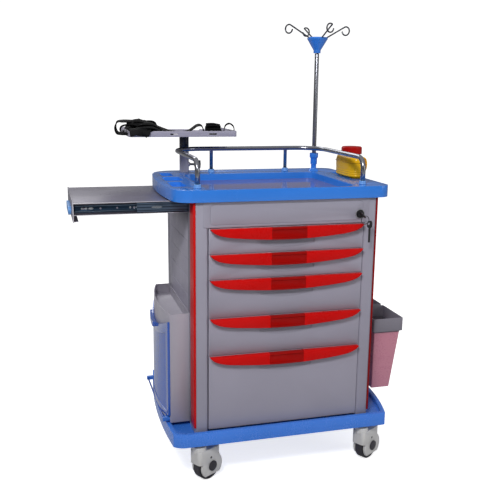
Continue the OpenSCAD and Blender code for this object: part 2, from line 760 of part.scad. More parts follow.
// ---------- sharps container ----------
lid_at = [322, 27];            // axis of the lid
neck_d = 54;
lid_d = 72;

module sharps_box() color([0.85,0.62,0.06]) difference() {
  union() {
    slab(297, 339, -45, 100, tray_top-17.8, 1004, 14);
    slab(296, 350, -47, 102, 968, 1028, 16);
    slab(299, 347, -44, 99, 1027, 1036, 14);
    at(lid_at) rod(neck_d, 1030, 1042);
    // side handle ring
    translate([348, 20, 997]) rotate([0,90,0]) difference() {
      cylinder(d=56, h=9, $fn=64);
      translate([0,0,-1]) cylinder(d=36, h=12, $fn=64);
    }
  }
  slab(300, 336, -42, 97, tray_top-15, 1003, 11);
  slab(299, 347, -44, 99, 971, 1026, 13);
  at(lid_at) rod(44, 1020, 1050);
}
module sharps_lid() color([0.78,0.08,0.05]) at(lid_at) difference() {
  union() {
    rod(lid_d, 1036.4, 1058);
    translate([0,0,1058]) cylinder(d1=lid_d, d2=65, h=4, $fn=96);
  }
  rod(neck_d+0.1, 1030, 1042.2);
}

base_deck();
caster_stems();
caster_fork(0);  // caster_front_left_fork
caster_wheel(0);  // caster_front_left_wheel
caster_fork(1);  // caster_front_right_fork
caster_wheel(1);  // caster_front_right_wheel
caster_fork(2);  // caster_rear_left_fork
caster_wheel(2);  // caster_rear_left_wheel
caster_fork(3);  // caster_rear_right_fork
caster_wheel(3);  // caster_rear_right_wheel
corner_columns();
column_strips();
side_panels();
back_panel();
lock_panel();
drawer_rails();
lock_body();
lock_keys();
drawer_front(0);  // drawer_1_front
drawer_tub(0);  // drawer_1_tub
drawer_pull(0);  // drawer_1_pull
drawer_front(1);  // drawer_2_front
drawer_tub(1);  // drawer_2_tub
drawer_pull(1);  // drawer_2_pull
drawer_front(2);  // drawer_3_front
drawer_tub(2);  // drawer_3_tub
drawer_pull(2);  // drawer_3_pull
drawer_front(3);  // drawer_4_front
drawer_tub(3);  // drawer_4_tub
drawer_pull(3);  // drawer_4_pull
drawer_front(4);  // drawer_5_front
drawer_tub(4);  // drawer_5_tub
drawer_pull(4);  // drawer_5_pull
worktop_tray();
guard_rail();
rail_ferrules();
pole_socket();
pole_outer();
pole_inner();
pole_head();
pole_hooks();
shelf_post_outer();
shelf_post_inner();
shelf_post_knob();
shelf_support_plate();
defib_shelf();
defib_straps();
side_shelf_pan();
side_shelf_handle();
side_slide_fixed();
side_slide_middle();
side_slide_inner();
side_box_shell();
side_box_door();
bin_holder();
bin_front();
bin_rear();
sharps_box();
sharps_lid();
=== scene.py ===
# A medical trolley on casters: five drawers under a blue worktop, a defibrillator shelf with
# loose straps, an infusion pole, a side shelf and box, waste bins and a sharps container.
# +Z is up, the drawers face -Y, and +X is to the right as seen from the front.
# Lengths are metres. Free-form points of straps, hooks and the container are millimetres.
import bpy
import bmesh
import math
import random
from mathutils import Matrix, Vector


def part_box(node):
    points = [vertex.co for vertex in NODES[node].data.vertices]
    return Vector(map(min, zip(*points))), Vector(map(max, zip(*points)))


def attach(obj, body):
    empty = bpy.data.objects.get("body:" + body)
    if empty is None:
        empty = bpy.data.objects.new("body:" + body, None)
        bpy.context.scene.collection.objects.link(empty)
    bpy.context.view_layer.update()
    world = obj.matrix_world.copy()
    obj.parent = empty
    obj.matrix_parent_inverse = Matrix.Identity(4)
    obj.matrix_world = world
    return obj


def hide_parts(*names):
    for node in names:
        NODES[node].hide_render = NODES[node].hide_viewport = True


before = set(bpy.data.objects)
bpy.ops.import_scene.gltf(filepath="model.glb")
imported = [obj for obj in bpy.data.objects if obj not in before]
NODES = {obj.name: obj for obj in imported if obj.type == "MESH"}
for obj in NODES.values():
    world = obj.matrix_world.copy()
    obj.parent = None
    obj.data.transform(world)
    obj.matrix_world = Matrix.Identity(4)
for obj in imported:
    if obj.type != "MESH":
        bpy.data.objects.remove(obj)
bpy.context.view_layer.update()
random.seed(7)
scene = bpy.context.scene

CORNERS = ("front_left", "front_right", "rear_left", "rear_right")
DRAWERS = range(1, 6)


# ------------------------------------------------------------------ node trees
def srgb(rgb):
    """Linear colour from 0-255 sRGB."""
    def linear(level):
        level = level / 255
        return ((level + 0.055) / 1.055) ** 2.4 if level > 0.04045 else level / 12.92
    return tuple(linear(level) for level in rgb)


def shade(colour, factor):
    return tuple(x * factor for x in colour)


def is_socket(value):
    return isinstance(value, bpy.types.NodeSocket)


class Graph:
    """Builds nodes in a tree; any value may be a number or another node's output."""

    def __init__(self, tree):
        self.tree = tree

    def feed(self, socket, value):
        if is_socket(value):
            self.tree.links.new(value, socket)
        else:
            socket.default_value = value

    def node(self, kind, inputs=None, **settings):
        node = self.tree.nodes.new(kind)
        for key, value in settings.items():
            setattr(node, key, value)
        for key, value in (inputs or {}).items():
            self.feed(node.inputs[key], value)
        return node

    def remap(self, value, low=0, high=1, start=0.35, end=0.65):
        """Carries start..end over to low..high, clamped."""
        return self.node("ShaderNodeMapRange", {
            "From Min": start, "From Max": end, "To Min": low, "To Max": high,
            "Value": value}).outputs["Result"]

    def blend(self, factor, first, second):
        """Mixes two numbers."""
        return self.node("ShaderNodeMix", {0: factor, 2: first, 3: second}).outputs[0]


class Surface(Graph):
    """A procedural material driven by object position."""

    def __init__(self, name):
        self.material = bpy.data.materials.new(name)
        self.material.use_nodes = True
        super().__init__(self.material.node_tree)
        self.shader = next(n for n in self.tree.nodes if n.type == "BSDF_PRINCIPLED")
        self.position = self.node("ShaderNodeTexCoord").outputs["Object"]
        self.frame = None

    def put(self, name, value):
        self.feed(self.shader.inputs[name], value)

    def noise(self, scale, detail, rough=0.55, stretch=None, distortion=0.0):
        vector = self.position
        if stretch:
            mapping = self.node("ShaderNodeMapping", {"Scale": stretch, "Vector": vector})
            vector = mapping.outputs["Vector"]
        return self.node("ShaderNodeTexNoise", {
            "Scale": scale, "Detail": detail, "Roughness": rough,
            "Distortion": distortion, "Vector": vector}).outputs["Fac"]

    def mix(self, factor, first, second):
        """Mixes two colours."""
        first, second = (c if is_socket(c) else (*c, 1) for c in (first, second))
        return self.node("ShaderNodeMix", {0: factor, 6: first, 7: second},
                         data_type="RGBA", blend_type="MIX").outputs[2]

    def math(self, operation, first, second):
        return self.node("ShaderNodeMath", {0: first, 1: second},
                         operation=operation).outputs[0]

    def times(self, first, second):
        return self.math("MULTIPLY", first, second)

    def invert(self, mask):
        return self.math("SUBTRACT", 1.0, mask)

    def bump(self, height, strength, distance):
        """Adds a bump on top of any already there."""
        bump = self.node("ShaderNodeBump", {
            "Strength": strength, "Distance": distance, "Height": height})
        normal = self.shader.inputs["Normal"]
        if normal.is_linked:
            self.feed(bump.inputs["Normal"], normal.links[0].from_socket)
        self.feed(normal, bump.outputs["Normal"])

    def split_position(self):
        return self.node("ShaderNodeSeparateXYZ", {0: self.position}).outputs

    def turn(self, origin, x_axis, y_axis):
        """Later masks measure from origin, along two plan directions and up."""
        position = self.split_position()
        offset = [self.math("SUBTRACT", position[i], origin[i]) for i in range(3)]

        def along(axis):
            return self.math("ADD", self.times(offset[0], axis[0]),
                             self.times(offset[1], axis[1]))
        self.frame = (along(x_axis), along(y_axis), offset[2])

    def axes(self):
        return self.frame or self.split_position()

    def step(self, value, edge, soft):
        """0 below the edge, 1 above it."""
        return self.remap(value, start=edge - soft, end=edge + soft)

    def within(self, x=(None, None), y=(None, None), z=(None, None), soft=0.0004):
        """1 inside a box of (low, high) limits, 0 outside it; None leaves a side open."""
        mask = None
        for value, (low, high) in zip(self.axes(), (x, y, z)):
            sides = []
            if low is not None:
                sides.append((low, False))
            if high is not None:
                sides.append((high, True))
            for edge, below in sides:
                side = self.step(value, edge, soft)
                if below:
                    side = self.invert(side)
                mask = side if mask is None else self.times(mask, side)
        return mask

    def disc(self, centre, radii, soft, plane=(0, 2)):
        """1 inside an ellipse in the plane of two axes, 0 outside."""
        axes = self.axes()
        squares = []
        for axis, middle, radius in zip(plane, centre, radii):
            part = self.math("DIVIDE", self.math("SUBTRACT", axes[axis], middle), radius)
            squares.append(self.times(part, part))
        distance = self.math("SQRT", self.math("ADD", *squares), 0)
        return self.invert(self.step(distance, 1.0, soft))

    def paint(self, mask, rgb, rough=None, strength=None):
        """Lays a gently drifting colour over the base where the mask is 1."""
        if strength is not None:
            mask = self.times(mask, strength)
        socket = self.shader.inputs["Base Color"]
        base = socket.links[0].from_socket
        colour = srgb(rgb)
        drift = self.remap(self.noise(5, 3))
        tone = self.mix(drift, shade(colour, 1 - 0.1), colour)
        self.feed(socket, self.mix(mask, base, tone))
        if rough is not None:
            socket = self.shader.inputs["Roughness"]
            self.feed(socket, self.blend(mask, socket.links[0].from_socket, rough))


# ------------------------------------------------------------------ materials
SURFACES = {}


def plastic(name, rgb, rough, drift, bump, grain, coat, spec, dust):
    """Moulded plastic or powder coat: tone drift, fine grain, rubbed and dusty patches."""
    surface = SURFACES[name] = Surface(name)
    colour = srgb(rgb)
    light = tuple(min(1, x * (1 + drift * 0.6) + 0.004) for x in colour)
    tone = surface.mix(surface.remap(surface.noise(3.5, 3)), shade(colour, 1 - drift), light)
    specks = surface.remap(surface.noise(60, 6, rough=0.7), start=0.58, end=0.80)
    dusty = tuple(0.55 * x + 0.45 * 0.42 for x in colour)    # 45% of a mid grey
    surface.put("Base Color", surface.mix(surface.times(specks, dust), tone, dusty))
    rubbed = surface.noise(9, 5, rough=0.65, distortion=0.6)
    fine = surface.noise(220, 3, rough=0.6)
    surface.put("Roughness", surface.math(
        "ADD", surface.remap(rubbed, low=rough * 0.82, high=rough * 1.22),
        surface.remap(fine, low=-0.03, high=0.05)))
    surface.put("Specular IOR Level", spec)
    surface.put("Coat Weight", coat)
    surface.put("Coat Roughness", 0.08)
    surface.bump(surface.noise(grain, 2, rough=0.5), strength=bump, distance=0.0002)
    surface.bump(surface.noise(14, 2, rough=0.5), strength=0.10, distance=0.0008)
    return surface


def metal(name, rgb, rough, stretch, drift, bump, tarnish, variation):
    """Tube or sheet metal: drawn grain, fingerprints, slight tarnish."""
    surface = SURFACES[name] = Surface(name)
    colour = srgb(rgb)
    surface.put("Metallic", 1.0)
    grain = surface.noise(180, 4, rough=0.6, stretch=stretch)
    smear = surface.noise(11, 4, rough=0.6, distortion=0.8)
    light = tuple(min(1, x * (1 + drift)) for x in colour)
    tone = surface.mix(surface.remap(grain), shade(colour, 1 - drift), light)
    stain = surface.times(surface.remap(smear, start=0.5, end=0.8), tarnish)
    surface.put("Base Color", surface.mix(stain, tone, shade(colour, 0.55)))
    surface.put("Roughness", surface.math(
        "ADD",
        surface.remap(smear, low=rough * (1 - 0.3 * variation),
                      high=rough * (1 + 0.5 * variation)),
        surface.remap(grain, low=-0.03 * variation, high=0.05 * variation)))
    surface.bump(grain, strength=bump, distance=0.0002)


# name: sRGB, roughness, tone drift, grain bump, grain scale, coat, specular, dust
PLASTICS = {
    "blue_abs": ((44, 124, 222), 0.20, 0.05, 0.03, 900, 0.3, 0.5, 0.02),
    "blue_base": ((58, 124, 224), 0.24, 0.05, 0.03, 900, 0.2, 0.5, 0.02),
    "door_blue": ((40, 86, 178), 0.10, 0.05, 0.0, 900, 0.6, 0.5, 0.0),
    "light_blue": ((104, 158, 222), 0.30, 0.08, 0.06, 900, 0.0, 0.5, 0.06),
    "grey_metal": ((153, 150, 165), 0.42, 0.03, 0.06, 1300, 0.0, 0.5, 0.02),
    "panel_dark": ((164, 160, 177), 0.45, 0.05, 0.08, 1300, 0.0, 0.5, 0.02),
    "box_grey": ((168, 164, 176), 0.42, 0.04, 0.07, 1500, 0.0, 0.5, 0.02),
    "shelf_grey": ((164, 161, 178), 0.38, 0.04, 0.07, 1300, 0.0, 0.5, 0.02),
    "pan_grey": ((118, 114, 130), 0.36, 0.06, 0.12, 1300, 0.0, 0.5, 0.06),
    "bin_grey": ((126, 123, 134), 0.42, 0.04, 0.06, 1500, 0.0, 0.5, 0.02),
    "bin_pink": ((206, 136, 156), 0.26, 0.02, 0.0, 900, 0.0, 0.5, 0.0),
    "clear_tub": ((214, 218, 222), 0.35, 0.04, 0.10, 900, 0.0, 0.5, 0.06),
    "red_strip": ((196, 8, 4), 0.35, 0.05, 0.03, 1200, 0.0, 0.15, 0.0),
    "red_lid": ((166, 6, 3), 0.30, 0.05, 0.03, 900, 0.0, 0.12, 0.0),
    "yellow": ((240, 184, 6), 0.26, 0.05, 0.03, 900, 0.1, 0.3, 0.0),
    "black": ((22, 22, 25), 0.32, 0.15, 0.08, 900, 0.0, 0.5, 0.06),
    "lock_black": ((22, 22, 25), 0.28, 0.15, 0.05, 900, 0.0, 0.5, 0.06),
    "rail_black": ((62, 64, 70), 0.40, 0.10, 0.10, 900, 0.0, 0.5, 0.06),
    "dark_metal": ((34, 38, 52), 0.34, 0.12, 0.10, 1300, 0.0, 0.5, 0.06),
    "tyre": ((44, 42, 50), 0.50, 0.15, 0.20, 500, 0.0, 0.5, 0.22),
    "strap": ((13, 13, 15), 0.80, 0.25, 0.40, 2600, 0.0, 0.2, 0.02),
}
HOOD_LOOK = ((204, 203, 202), 0.36, 0.05, 0.08, 900, 0.0, 0.5, 0.10)
PULL_LOOK = ((206, 4, 2), 0.30, 0.03, 0.0, 900, 0.0, 0.12, 0.0)

# name: sRGB, roughness, grain stretch, tone drift, grain bump, tarnish, roughness variation
METALS = {
    "slide_steel": ((132, 140, 152), 0.34, (40, 1, 1), 0.12, 0.06, 0.15, 1.0),
    "slide_dark": ((40, 56, 74), 0.40, (40, 1, 1), 0.15, 0.06, 0.15, 1.0),
    "slide_middle": ((96, 112, 132), 0.36, (40, 1, 1), 0.15, 0.06, 0.15, 1.0),
    "stainless": ((150, 152, 160), 0.22, (1, 1, 1), 0.04, 0.004, 0.10, 0.3),
    "stainless_z": ((146, 148, 156), 0.30, (30, 30, 1), 0.04, 0.0, 0.10, 0.25),
    "hook_steel": ((86, 88, 94), 0.26, (1, 1, 1), 0.08, 0.06, 0.15, 1.0),
}

for name, look in PLASTICS.items():
    plastic(name, *look)
for name, look in METALS.items():
    metal(name, *look)


def weave_strap():
    """A woven rib across the webbing."""
    surface = SURFACES["strap"]
    wave = surface.node("ShaderNodeTexWave",
                        {"Scale": 520, "Distortion": 1.5, "Vector": surface.position},
                        wave_type="BANDS", bands_direction="DIAGONAL")
    surface.bump(wave.outputs["Fac"], strength=0.35, distance=0.0004)


def paint_body():
    """Flat patches of colour on the worktop, body panels, shelf and bins."""
    # grey-violet sheet in the worktop recess
    worktop = SURFACES["blue_abs"]
    worktop.paint(worktop.within(x=(-0.2575, 0.2275), y=(-0.2415, 0.1645),
                                 z=(0.9300, 0.9364), soft=0.0008),
                  (124, 100, 142), rough=0.07)
    # painted shade: darker towards the top of the panels, in blotches, standing in for the
    # shadow under the side shelf
    panel = SURFACES["panel_dark"]
    painted_top_shade = panel.remap(panel.axes()[2], high=0.85, start=0.806, end=0.870)
    panel.paint(painted_top_shade, (62, 59, 70), rough=0.5,
                strength=panel.remap(panel.noise(6, 3), low=0.75, high=1.0))
    # painted shade: the strips are painted a deeper red on the right half for the shade that
    # strip sits in, and are grey behind the front corners
    strip = SURFACES["red_strip"]
    strip.paint(strip.within(x=(0.0, None), soft=0.0006), (138, 8, 10), rough=0.45)
    strip.paint(strip.within(y=(-0.1920, None), soft=0.0006), (122, 119, 133), rough=0.45)
    # blue hinge ears at the foot of the side box, front then rear
    box = SURFACES["box_grey"]
    for x_edge, y_span in ((-0.3668, (-0.1660, -0.1510)), (-0.3578, (0.1960, 0.2110))):
        box.paint(box.within(x=(None, x_edge), y=y_span, z=(None, 0.2040), soft=0.0003),
                  (44, 110, 204), rough=0.3)
    # bright front edge of the side shelf
    pan = SURFACES["pan_grey"]
    pan.paint(pan.within(y=(None, -0.1660), soft=0.0003), (196, 194, 202), rough=0.3)
    # grey tops of the waste bins
    waste = SURFACES["bin_pink"]
    waste.paint(waste.within(z=(0.4350, None), soft=0.0006), (96, 92, 102), rough=0.45)


SLIDE_Z = 0.898    # centre line of the side shelf's slides


def paint_slides():
    """Bright ball and rivet marks, and raceways along the telescopic slides."""
    inner = SURFACES["slide_dark"]
    # x and half-length of each mark
    for x, half_length in ((-0.624, 0.003), (-0.612, 0.004), (-0.598, 0.0075),
                           (-0.480, 0.003), (-0.468, 0.0035), (-0.455, 0.007)):
        inner.paint(inner.disc((x, SLIDE_Z), (half_length, 0.0032), soft=0.15),
                    (196, 200, 206), rough=0.25, strength=0.85)
    for z in (0.8895, 0.9062):
        inner.paint(inner.within(z=(z - 0.0009, z + 0.0009), soft=0.0003),
                    (128, 142, 158), rough=0.3, strength=0.75)
    middle = SURFACES["slide_middle"]
    for z in (0.8885, 0.8980, 0.9070):
        middle.paint(middle.within(z=(z - 0.0012, z + 0.0012)),
                     (38, 46, 58), rough=0.4, strength=0.8)
    middle.paint(middle.disc((-0.400, SLIDE_Z), (0.016, 0.004), soft=0.1),
                 (178, 186, 196), rough=0.25, strength=0.8)


def dent_and_shade_drawer_fronts():
    """A shallow elliptic dent bumped into each drawer front, with painted shade in it."""
    front = SURFACES["grey_metal"]
    for drawer_top in (0.838, 0.757, 0.676, 0.552, 0.428):
        dent_and_shade = front.disc((0.0, drawer_top - 0.039), (0.105, 0.026), soft=0.05)
        front.bump(dent_and_shade, strength=0.35, distance=0.002)
        # painted shade darkens the dent
        front.paint(dent_and_shade, (118, 114, 128), strength=0.28)


def paint_lock():
    """A bright ring round the lock."""
    lock = SURFACES["lock_black"]
    outer, inner = (lock.disc((0.240, 0.869), (radius, radius), soft=0.02)
                    for radius in (0.0163, 0.0138))
    lock.paint(lock.times(outer, lock.invert(inner)), (150, 150, 158), rough=0.2)


STEM_X = 0.285
STEM_Y = {"front": -0.239, "rear": 0.262}


def caster_hood(corner):
    """Grey hood with a dark hub cap and a small dark dot, laid out square to its wheel."""
    end, side = corner.split("_")
    low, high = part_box(f"caster_{corner}_wheel")
    hub = (low + high) / 2
    stem = Vector((-STEM_X if side == "left" else STEM_X, STEM_Y[end], 0))
    trail = (hub - stem) * Vector((1, 1, 0))
    trail.normalize()
    hood = plastic(f"hood_{corner}", *HOOD_LOOK)
    # axis 0 runs along the axle, axis 1 along the trail from stem to hub
    hood.turn(hub, (trail.y, -trail.x), (trail.x, trail.y))
    axle = hood.math("ABSOLUTE", hood.axes()[0], 0)
    # distance out along the axle, centre, radius, edge softness, colour, roughness
    for reach, centre, radius, soft, rgb, rough in (
            (0.0253, (0, 0), 0.0174, 0.02, (44, 52, 64), 0.35),
            (0.015, (-0.006, 0.031), 0.0040, 0.08, (38, 40, 46), 0.4)):
        outside = hood.step(axle, reach, soft=0.0002)
        spot = hood.disc(centre, (radius, radius), soft=soft, plane=(1, 2))
        hood.paint(hood.times(outside, spot), rgb, rough=rough)


def drawer_pull(number):
    """Red pull with a deeper red middle."""
    pull = plastic(f"pull_red_{number}", *PULL_LOOK)
    pull.paint(pull.within(x=(-0.0575, 0.0575)), (158, 6, 3), rough=0.20)


weave_strap()
paint_body()
paint_slides()
dent_and_shade_drawer_fronts()
paint_lock()
for corner in CORNERS:
    caster_hood(corner)
for number in DRAWERS:
    drawer_pull(number)


# ------------------------------------------------------------------ CAD nodes
# node, material, edge rounding (0 for none)
DRESS = [("base_deck", "blue_base", 0.004), ("caster_stems", "slide_steel", 0.0005)]
for corner in CORNERS:
    DRESS += [(f"caster_{corner}_fork", f"hood_{corner}", 0.002),
              (f"caster_{corner}_wheel", "tyre", 0.0015)]
DRESS += [
    ("corner_columns", "grey_metal", 0.0008), ("column_strips", "red_strip", 0.0007),
    ("side_panels", "panel_dark", 0.0004), ("back_panel", "panel_dark", 0.0004),
    ("lock_panel", "grey_metal", 0.001), ("drawer_rails", "rail_black", 0.0004),
    ("lock_body", "lock_black", 0.001), ("lock_keys", "black", 0.0004),
]
for number in DRAWERS:
    DRESS += [(f"drawer_{number}_front", "grey_metal", 0.0012),
              (f"drawer_{number}_tub", "clear_tub", 0.0006),
              (f"drawer_{number}_pull", f"pull_red_{number}", 0.0015)]
DRESS += [
    ("worktop_tray", "blue_abs", 0.004), ("guard_rail", "stainless", 0),
    ("rail_ferrules", "light_blue", 0.001), ("pole_socket", "blue_abs", 0.001),
    ("pole_outer", "stainless_z", 0.0003), ("pole_inner", "stainless_z", 0),
    ("pole_head", "blue_abs", 0.001), ("pole_hooks", "stainless", 0),
    ("shelf_post_outer", "shelf_grey", 0.0008), ("shelf_post_inner", "dark_metal", 0.0005),
    ("shelf_post_knob", "rail_black", 0.0008), ("shelf_support_plate", "dark_metal", 0.0006),
    ("defib_shelf", "shelf_grey", 0.0008), ("defib_straps", "strap", 0.002),
    ("side_shelf_pan", "pan_grey", 0.0006), ("side_shelf_handle", "light_blue", 0.0015),
    ("side_slide_fixed", "slide_steel", 0.0003),
    ("side_slide_middle", "slide_middle", 0.0003),
    ("side_slide_inner", "slide_dark", 0.0003), ("side_box_shell", "box_grey", 0.0012),
    ("side_box_door", "door_blue", 0.0015), ("bin_holder", "bin_grey", 0.0015),
    ("bin_front", "bin_pink", 0.001), ("bin_rear", "bin_pink", 0.001),
    ("sharps_box", "yellow", 0.002), ("sharps_lid", "red_lid", 0.0015),
]
BEVEL_SEGMENTS = {"base_deck": 3, "worktop_tray": 4}    # the rest have 2


def dress(node, material, rounding):
    """Material and edge rounding for a CAD node. Its own vertices stay as they are."""
    piece = NODES[node]
    piece.data.materials.clear()
    piece.data.materials.append(SURFACES[material].material)
    piece.data.shade_smooth()
    weld = piece.modifiers.new("weld", "WELD")
    weld.merge_threshold = 0.00002
    if rounding:
        bevel = piece.modifiers.new("bevel", "BEVEL")
        bevel.width = rounding
        bevel.segments = BEVEL_SEGMENTS.get(node, 2)
        bevel.limit_method = "ANGLE"
        bevel.angle_limit = math.radians(32)
        bevel.harden_normals = True


for row in DRESS:
    dress(*row)


# ------------------------------------------------------------------ mesh helpers
def mm(*v):
    return Vector(v) / 1000


def mesh_object(bm, name):
    mesh = bpy.data.meshes.new(name)
    bm.to_mesh(mesh)
    bm.free()
    piece = bpy.data.objects.new(name, mesh)
    scene.collection.objects.link(piece)
    return piece


def smooth_object(bm, name, material):
    bmesh.ops.recalc_face_normals(bm, faces=bm.faces)
    piece = mesh_object(bm, name)
    piece.data.materials.append(SURFACES[material].material)
    piece.data.shade_smooth()
    return piece


def bridge(bm, first, second):
    """A band of quads between two closed rings."""
    count = len(first)
    for k in range(count):
        after = (k + 1) % count
        bm.faces.new((first[k], first[after], second[after], second[k]))


def smooth_path(points, per):
    """Catmull-Rom through points in mm, with per steps between each two."""
    P = [mm(*p) for p in points]
    P = [P[0] * 2 - P[1]] + P + [P[-1] * 2 - P[-2]]
    path = []
    for i in range(1, len(P) - 2):
        a, b, c, d = P[i - 1:i + 3]
        for k in range(per):
            t = k / per
            path.append(0.5 * ((2 * b) + (c - a) * t + (2 * a - 5 * b + 4 * c - d) * t * t
                               + (3 * b - a - 3 * c + d) * t ** 3))
    path.append(P[-2].copy())
    return path


def tangent(path, i):
    return (path[min(i + 1, len(path) - 1)] - path[max(i - 1, 0)]).normalized()


def tube(name, points, radius, material, per, sides):
    """Round bar swept along a smooth path, with rounded ends. Sizes in mm."""
    radius = radius / 1000
    path = smooth_path(points, per)
    bm = bmesh.new()
    rings = []
    across = None
    for i, centre in enumerate(path):
        ahead = tangent(path, i)
        if across is None:
            across = ahead.cross(Vector((0, 0, 1))).normalized()
        else:
            across = (across - ahead * across.dot(ahead)).normalized()
        other = ahead.cross(across)
        angles = [2 * math.pi * k / sides for k in range(sides)]
        rings.append([bm.verts.new(
            centre + (across * math.cos(t) + other * math.sin(t)) * radius) for t in angles])
    for first, second in zip(rings, rings[1:]):
        bridge(bm, first, second)
    for ring, centre, inside in ((rings[0], path[0], path[1]), (rings[-1], path[-1], path[-2])):
        outward = (centre - inside).normalized()
        last = ring
        for fraction in (0.5, 0.85):
            height = radius * fraction
            cap_radius = math.sqrt(max(0.0, radius * radius - height * height))
            cap = [bm.verts.new(centre + outward * height
                                + (v.co - centre).normalized() * cap_radius) for v in ring]
            bridge(bm, last, cap)
            last = cap
        bm.faces.new(last)
    return smooth_object(bm, name, material)


def ribbon(name, width, thick, side, points, material="strap", per=10, crown=0.0,
           side_change=(0, 0, 0)):
    """Flat band with rounded edges swept along a smooth path. Sizes in mm.

    side is the width direction; side_change is added to it evenly over the length.
    """
    path = smooth_path(points, per)
    w = width / 1000 / 2
    h = thick / 1000 / 2
    half = [(-w + h, -h), (-w * 0.5, -h), (0, -h), (w * 0.5, -h), (w - h, -h), (w, 0)]
    section = [(x, z + crown / 1000 * (1 - (x / w) ** 2))
               for x, z in half + [(-x, -z) for x, z in half]]
    bm = bmesh.new()
    rings = []
    for i, centre in enumerate(path):
        done = i / (len(path) - 1)
        ahead = tangent(path, i)
        across = Vector([s + change * done for s, change in zip(side, side_change)])
        across = (across - ahead * across.dot(ahead)).normalized()
        normal = ahead.cross(across)
        rings.append([bm.verts.new(centre + across * x + normal * z) for x, z in section])
    for first, second in zip(rings, rings[1:]):
        bridge(bm, first, second)
    bm.faces.new(rings[0])
    bm.faces.new(rings[-1])
    return smooth_object(bm, name, material)


# ------------------------------------------------------------------ defibrillator straps
BED = 1096.6    # z in mm of the level the webbing lies on

# name, width, thickness, side direction, points
LEFT_LOOPS = [
    ("strap_loop_left_outer", 38, 3.4, (0.25, 1, 0.18), [
        (-392, 214, 1138), (-425, 208, 1141), (-458, 204, 1142), (-477, 200, 1138),
        (-484, 198, 1122), (-479, 196, 1104), (-462, 194, 1100), (-436, 192, 1100)]),
    ("strap_loop_left_inner", 34, 3.2, (0.2, 1, -0.12), [
        (-400, 176, 1124), (-424, 172, 1129), (-446, 171, 1131), (-465, 170, 1126),
        (-471, 168, 1115), (-466, 166, 1106), (-448, 164, 1101), (-420, 164, 1100)]),
]
# a fold that stands up on edge and lies down towards its right end
PEAK = ("strap_fold_peak", 32, 3.2, (0.1, 0.93, 0.55), [
    (-446, 196, 1132), (-424, 190, 1138), (-402, 184, 1141), (-384, 180, 1137),
    (-366, 176, 1131), (-343, 172, 1122), (-318, 166, 1113), (-292, 162, 1105)])
LOOSE_ENDS = [
    ("strap_fold_back", 38, 3.2, (0.1, 1, 0.35), [
        (-440, 232, 1118), (-412, 226, 1133), (-380, 220, 1130), (-350, 212, 1119),
        (-322, 204, 1107)]),
    # tails over the front lip, side by side
    ("strap_tail_front_1", 36, 3, (1, 0.12, 0.05), [
        (-404, 166, BED + 24), (-402, 138, BED + 27), (-402, 117, BED + 20),
        (-403, 110.4, BED + 8), (-404, 110.6, BED - 1)]),
    ("strap_tail_front_2", 32, 3, (1, -0.1, 0.05), [
        (-432, 160, BED + 18), (-432, 136, BED + 23), (-431, 116, BED + 18),
        (-430, 109, BED + 8), (-428, 108.6, BED + 1)]),
    ("strap_tail_front_3", 26, 2.6, (1, 0.3, 0.25), [
        (-372, 168, BED + 18), (-380, 140, BED + 23), (-386, 118, BED + 18),
        (-392, 107.6, BED + 7), (-398, 107, BED)]),
    # end that comes up behind the slot in the front lip
    ("strap_slot_end", 34, 2, (1, 0, 0), [
        (-313, 158, BED + 2), (-313, 136, BED + 2.5), (-313, 122, BED + 4),
        (-313, 118.8, BED + 8), (-313, 118.6, BED + 13)]),
    # long run along the shelf, rising to a hump at its right end
    ("strap_run", 30, 3, (0.1, 0.97, 0.2), [
        (-330, 166, 1116), (-305, 162, 1110), (-270, 158, 1106), (-240, 158, 1109),
        (-222, 160, 1119), (-208, 162, 1128), (-195, 164, 1130), (-186, 166, 1124),
        (-182, 168, 1112), (-182, 168, 1103)]),
    ("strap_loop_right", 28, 3, (0.25, 1, 0.1), [
        (-106, 176, 1099), (-105, 177, 1114), (-99, 178, 1128), (-86, 180, 1134),
        (-73, 181, 1128), (-67, 182, 1115), (-70, 182, 1103)]),
]
# height above the bed and shift in y of each layer of the folded pad
PAD_LAYERS = ((2.6, 0), (8, 6), (13.5, -4), (19, 3), (24.5, 5), (30, -3), (35.2, 0))


def bunched_folds():
    """Ten humped layers over four flatter ones, irregular but repeatable."""
    rng = random.Random(11)
    folds = []
    for i in range(10):
        y = 136 + i * 19 + rng.uniform(-5, 5)
        left = -440 + rng.uniform(-6, 16)
        right = -352 + rng.uniform(-8, 34)
        height = 24 + 16 * math.sin(math.pi * (i + 1) / 11) + rng.uniform(-5, 4)
        middle = (left + right) / 2 + rng.uniform(-14, 18)
        tilt = rng.uniform(-0.6, 0.6)
        folds.append(ribbon(f"strap_fold_{i+1}", 40, 3, (tilt * 0.4, 1, tilt), [
            (left, y, BED + 3 + rng.uniform(0, 6)), (left + 20, y + 5, BED + height * 0.82),
            (middle, y - 4, BED + height), (right - 26, y + 6, BED + height * 0.72),
            (right, y + 1, BED + 5)], crown=1.8))
    for i in range(4):
        y = 140 + i * 44 + rng.uniform(-6, 6)
        tilt = rng.uniform(-0.4, 0.4)
        folds.append(ribbon(f"strap_under_{i+1}", 44, 3, (tilt * 0.3, 1, tilt * 0.5), [
            (-446, y, BED + 4), (-420, y + 8, BED + 15 + 3 * (i % 2)),
            (-384, y - 6, BED + 12), (-346, y + 5, BED + 17 - 2 * i),
            (-316, y, BED + 5)], crown=2))
    return folds


def folded_pad():
    """A stack of layers that get shorter and narrower upwards."""
    layers = []
    for i, (rise, shift) in enumerate(PAD_LAYERS):
        inset = 2.2 * i
        z = BED + rise
        layers.append(ribbon(f"strap_pad_{i+1}", 62 - 2 * i, 4.6, (0.05, 1, 0), [
            (-170 + inset * 0.3, 196 + shift, z), (-152, 194 + shift, z + 1.3),
            (-134, 198 + shift, z + 0.9), (-111 - inset, 200 + shift, z - 0.6)]))
    return layers


